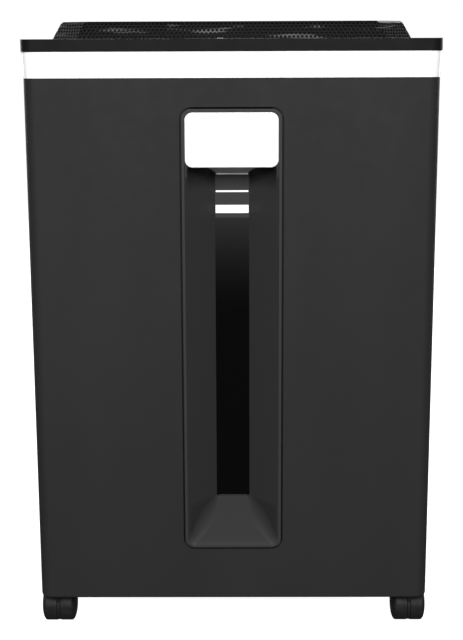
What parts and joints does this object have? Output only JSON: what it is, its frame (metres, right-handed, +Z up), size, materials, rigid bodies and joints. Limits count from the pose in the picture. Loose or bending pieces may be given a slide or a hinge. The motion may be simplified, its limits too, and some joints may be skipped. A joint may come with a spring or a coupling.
{
  "type": "paper shredder",
  "caption": "Floor-standing office paper shredder with a perforated paper lid, a white head band, a pull-out bin with a long recessed handle and window, and twin-wheel casters.",
  "frame": {"origin": "centre of the footprint, on the floor under the casters", "axes": "+Z up, -Y towards the user at the bin front, +X to the user's right"},
  "size_m": [0.4276, 0.36, 0.6576],
  "materials": {
    "black_body": "fine matte texture",
    "black_top": "satin",
    "perforated_black": "satin black coating",
    "white_gloss": "smooth gloss",
    "liner_black": "fine matte texture",
    "ledge_trim": "smooth",
    "dark_window": "high gloss smoked",
    "tub_plastic": "matte",
    "plate_steel": "zinc plated sheet",
    "rail_plastic": "slick acetal",
    "bright_steel": "bright ground steel",
    "cutter_steel": "hardened and oiled",
    "gear_steel": "sintered",
    "bronze": "sintered bronze",
    "motor_paint": "satin enamel",
    "black_inner": "moulded",
    "circuit_board": "solder mask",
    "light_lens": "clear light pipe",
    "roller_rubber": "ribbed rubber",
    "gear_nylon": "nylon",
    "rocker_red": "gloss",
    "button_grey": "satin",
    "caster_black": "moulded nylon",
    "wheel_black": "polished nylon"
  },
  "bodies": {
    "chassis": {"cabinet_shell": "black_body", "base_plate": "plate_steel", "bin_rails": "rail_plastic", "mechanism_deck": "plate_steel", "head_band": "white_gloss", "top_cover": "black_top", "feed_tray": "tub_plastic", "throat_guide": "plate_steel", "side_plate_left": "plate_steel", "side_plate_right": "plate_steel", "tie_rods": "bright_steel", "shaft_bearings": "bronze", "comb_front": "cutter_steel", "comb_rear": "cutter_steel", "motor_can": "motor_paint", "motor_bracket": "plate_steel", "gear_cover": "black_inner", "power_inlet": "black_inner", "power_board": "circuit_board", "control_board": "circuit_board", "paper_sensor": "black_inner", "bin_switch": "black_inner", "lid_hinge_pins": "bright_steel", "cover_screws": "bright_steel", "rear_vent": "black_inner", "status_light": "light_lens"},
    "bin": {"bin_tub": "tub_plastic", "bin_front": "black_body", "recess_liner": "liner_black", "handle_plate": "white_gloss", "bin_window": "dark_window", "window_ledges": "ledge_trim"},
    "lid": {"lid_frame": "black_top", "lid_mesh": "perforated_black", "plate_springs": "bright_steel"},
    "press": {"pressure_plate": "plate_steel"},
    "front_cutter": {"cutter_shaft_front": "bright_steel", "cutter_discs_front": "cutter_steel", "cutter_gear_front": "gear_steel"},
    "rear_cutter": {"cutter_shaft_rear": "bright_steel", "cutter_discs_rear": "cutter_steel", "cutter_gear_rear": "gear_steel", "drive_gear": "gear_steel"},
    "reduction": {"reduction_gear": "gear_steel"},
    "motor_rotor": {"motor_pinion": "bright_steel"},
    "feeder": {"feed_shaft": "bright_steel", "feed_rollers": "roller_rubber", "feed_gear": "gear_nylon"},
    "power_switch": {"power_rocker": "rocker_red"},
    "auto_key": {"auto_button": "button_grey"},
    "reverse_key": {"reverse_button": "button_grey"},
    "caster_fl": {"caster_hood_fl": "caster_black"},
    "wheels_fl": {"caster_wheels_fl": "wheel_black"},
    "caster_fr": {"caster_hood_fr": "caster_black"},
    "wheels_fr": {"caster_wheels_fr": "wheel_black"},
    "caster_rl": {"caster_hood_rl": "caster_black"},
    "wheels_rl": {"caster_wheels_rl": "wheel_black"},
    "caster_rr": {"caster_hood_rr": "caster_black"},
    "wheels_rr": {"caster_wheels_rr": "wheel_black"}
  },
  "joints": [
    {"name": "bin_slide", "type": "slide", "parent": "chassis", "child": "bin", "axis": [0, -1, 0], "range_m": [0, 0.29]},
    {"name": "lid_hinge", "type": "hinge", "parent": "chassis", "child": "lid", "pos_m": [0, 0.171, 0.646], "axis": [-1, 0, 0], "range_deg": [0, 75]},
    {"name": "press_slide", "type": "slide", "parent": "lid", "child": "press", "axis": [0, 0, 1], "range_m": [0, 0.009], "stiffness_N_per_m": 150, "springref_m": -0.012, "deforming": ["plate_springs"]},
    {"name": "rear_cutter_spin", "type": "hinge", "parent": "chassis", "child": "rear_cutter", "pos_m": [0, -0.04, 0.545], "axis": [1, 0, 0], "continuous": true},
    {"name": "front_cutter_spin", "type": "hinge", "parent": "chassis", "child": "front_cutter", "pos_m": [0, -0.08, 0.545], "axis": [1, 0, 0], "continuous": true},
    {"name": "reduction_spin", "type": "hinge", "parent": "chassis", "child": "reduction", "pos_m": [0, 0.014, 0.545], "axis": [1, 0, 0], "continuous": true},
    {"name": "motor_spin", "type": "hinge", "parent": "chassis", "child": "motor_rotor", "pos_m": [0, 0.059, 0.545], "axis": [1, 0, 0], "continuous": true},
    {"name": "feed_spin", "type": "hinge", "parent": "chassis", "child": "feeder", "pos_m": [0, -0.02209, 0.58077], "axis": [1, 0, 0], "continuous": true},
    {"name": "power_switch_tilt", "type": "hinge", "parent": "chassis", "child": "power_switch", "pos_m": [-0.15, 0.172, 0.554], "axis": [1, 0, 0], "range_deg": [0, 12]},
    {"name": "auto_press", "type": "slide", "parent": "chassis", "child": "auto_key", "axis": [0, 0, -1], "range_m": [0, 0.0015], "stiffness_N_per_m": 300, "springref_m": -0.002},
    {"name": "reverse_press", "type": "slide", "parent": "chassis", "child": "reverse_key", "axis": [0, 0, -1], "range_m": [0, 0.0015], "stiffness_N_per_m": 300, "springref_m": -0.002},
    {"name": "caster_swivel_fl", "type": "hinge", "parent": "chassis", "child": "caster_fl", "pos_m": [-0.195, -0.126, 0.05], "axis": [0, 0, 1], "continuous": true},
    {"name": "wheel_spin_fl", "type": "hinge", "parent": "caster_fl", "child": "wheels_fl", "pos_m": [-0.195, -0.138, 0.0195], "axis": [1, 0, 0], "continuous": true},
    {"name": "caster_swivel_fr", "type": "hinge", "parent": "chassis", "child": "caster_fr", "pos_m": [0.195, -0.126, 0.05], "axis": [0, 0, 1], "continuous": true},
    {"name": "wheel_spin_fr", "type": "hinge", "parent": "caster_fr", "child": "wheels_fr", "pos_m": [0.195, -0.138, 0.0195], "axis": [1, 0, 0], "continuous": true},
    {"name": "caster_swivel_rl", "type": "hinge", "parent": "chassis", "child": "caster_rl", "pos_m": [-0.195, 0.14, 0.05], "axis": [0, 0, 1], "continuous": true},
    {"name": "wheel_spin_rl", "type": "hinge", "parent": "caster_rl", "child": "wheels_rl", "pos_m": [-0.195, 0.128, 0.0195], "axis": [1, 0, 0], "continuous": true},
    {"name": "caster_swivel_rr", "type": "hinge", "parent": "chassis", "child": "caster_rr", "pos_m": [0.195, 0.14, 0.05], "axis": [0, 0, 1], "continuous": true},
    {"name": "wheel_spin_rr", "type": "hinge", "parent": "caster_rr", "child": "wheels_rr", "pos_m": [0.195, 0.128, 0.0195], "axis": [1, 0, 0], "continuous": true}
  ],
  "couplings": [
    {"joint": "front_cutter_spin", "follows": "rear_cutter_spin", "ratio": -1},
    {"joint": "feed_spin", "follows": "rear_cutter_spin", "ratio": -1},
    {"joint": "reduction_spin", "follows": "rear_cutter_spin", "ratio": -3.5},
    {"joint": "motor_spin", "follows": "rear_cutter_spin", "ratio": 14}
  ]
}
